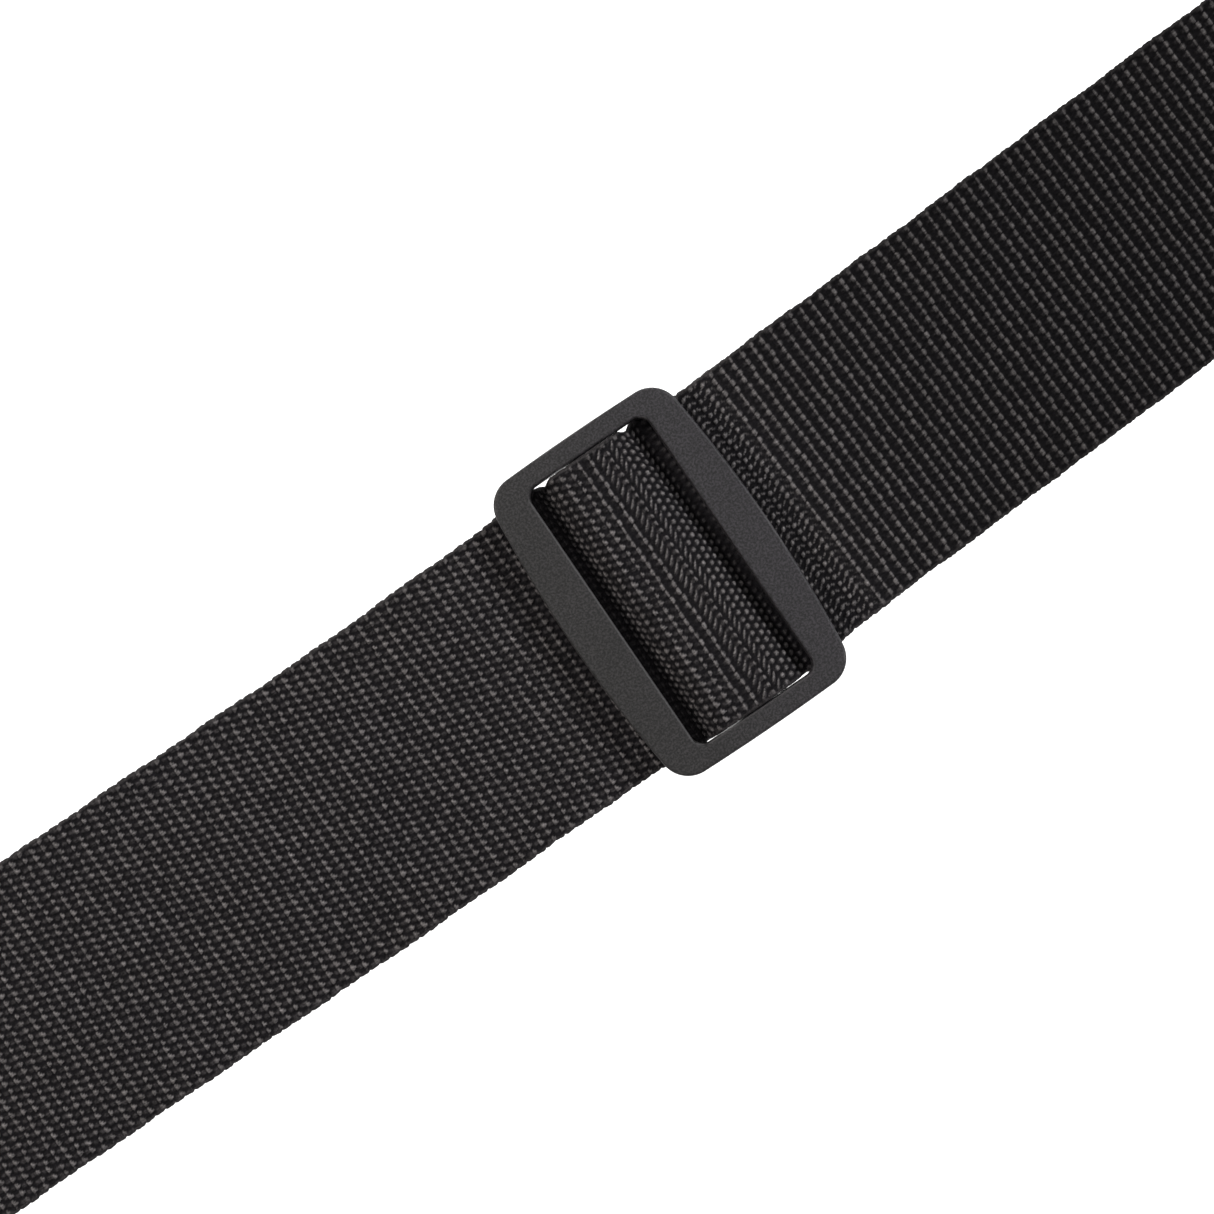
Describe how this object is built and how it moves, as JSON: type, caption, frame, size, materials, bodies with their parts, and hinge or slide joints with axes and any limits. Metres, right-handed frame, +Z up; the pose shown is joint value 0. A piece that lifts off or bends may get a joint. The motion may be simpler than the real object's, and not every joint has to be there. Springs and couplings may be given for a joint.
{
  "type": "guitar strap",
  "caption": "Adjustable webbing guitar strap: woven band threaded through a moulded three-bar slider and a rectangular loop, with a leather button tab at each end.",
  "frame": {"origin": "centre of the front strap-button hole, on the strap's under face", "axes": "+X along the strap towards the rear button hole, +Y across the webbing, +Z up from the under face"},
  "size_m": [1.277, 0.0604, 0.0108],
  "materials": {
    "webbing": "black polypropylene webbing, ribbed herringbone weave",
    "moulded_plastic": "fine matte texture, charcoal",
    "leather": "black, pebble grain, burnished edges",
    "thread": "black bonded thread"
  },
  "bodies": {
    "front": {"front_tab_outer": "leather", "front_tab_backing": "leather", "front_tab_edge_stitching": "thread", "front_tab_box_stitching": "thread", "webbing_front_end": "webbing"},
    "slider": {"webbing_front_run": "webbing", "webbing_slider_arch": "webbing", "webbing_sewn_fold": "webbing", "slider_bartack": "thread"},
    "glide": {"tri_glide": "moulded_plastic"},
    "turn": {"webbing_loop_turn": "webbing", "webbing_top_run": "webbing", "webbing_return_run": "webbing"},
    "loop": {"rectangular_loop": "moulded_plastic"},
    "tail": {"tail_link_webbing": "webbing", "tail_link_stitching": "thread", "rear_tab_outer": "leather", "rear_tab_backing": "leather", "rear_tab_edge_stitching": "thread", "rear_tab_box_stitching": "thread"}
  },
  "joints": [
    {"name": "slider_slide", "type": "slide", "parent": "front", "child": "slider", "axis": [1, 0, 0], "range_m": [-0.2, 0.2], "deforming": ["webbing_front_run"]},
    {"name": "glide_tilt", "type": "hinge", "parent": "slider", "child": "glide", "pos_m": [0.6403, 0, 0.00645], "axis": [0, 1, 0], "range_deg": [-6, 6], "deforming": ["webbing_slider_arch", "webbing_sewn_fold"]},
    {"name": "loop_slide", "type": "slide", "parent": "slider", "child": "turn", "axis": [1, 0, 0], "range_m": [-0.1, 0.1], "deforming": ["webbing_top_run", "webbing_return_run"]},
    {"name": "loop_swivel", "type": "hinge", "parent": "turn", "child": "loop", "pos_m": [1.08, 0, 0.00375], "axis": [0, 1, 0], "range_deg": [-75, 75]},
    {"name": "tail_swivel", "type": "hinge", "parent": "loop", "child": "tail", "pos_m": [1.097, 0, 0.00375], "axis": [0, 1, 0], "range_deg": [-60, 60]}
  ],
  "couplings": [
    {"joint": "loop_slide", "follows": "slider_slide", "ratio": -0.5}
  ]
}
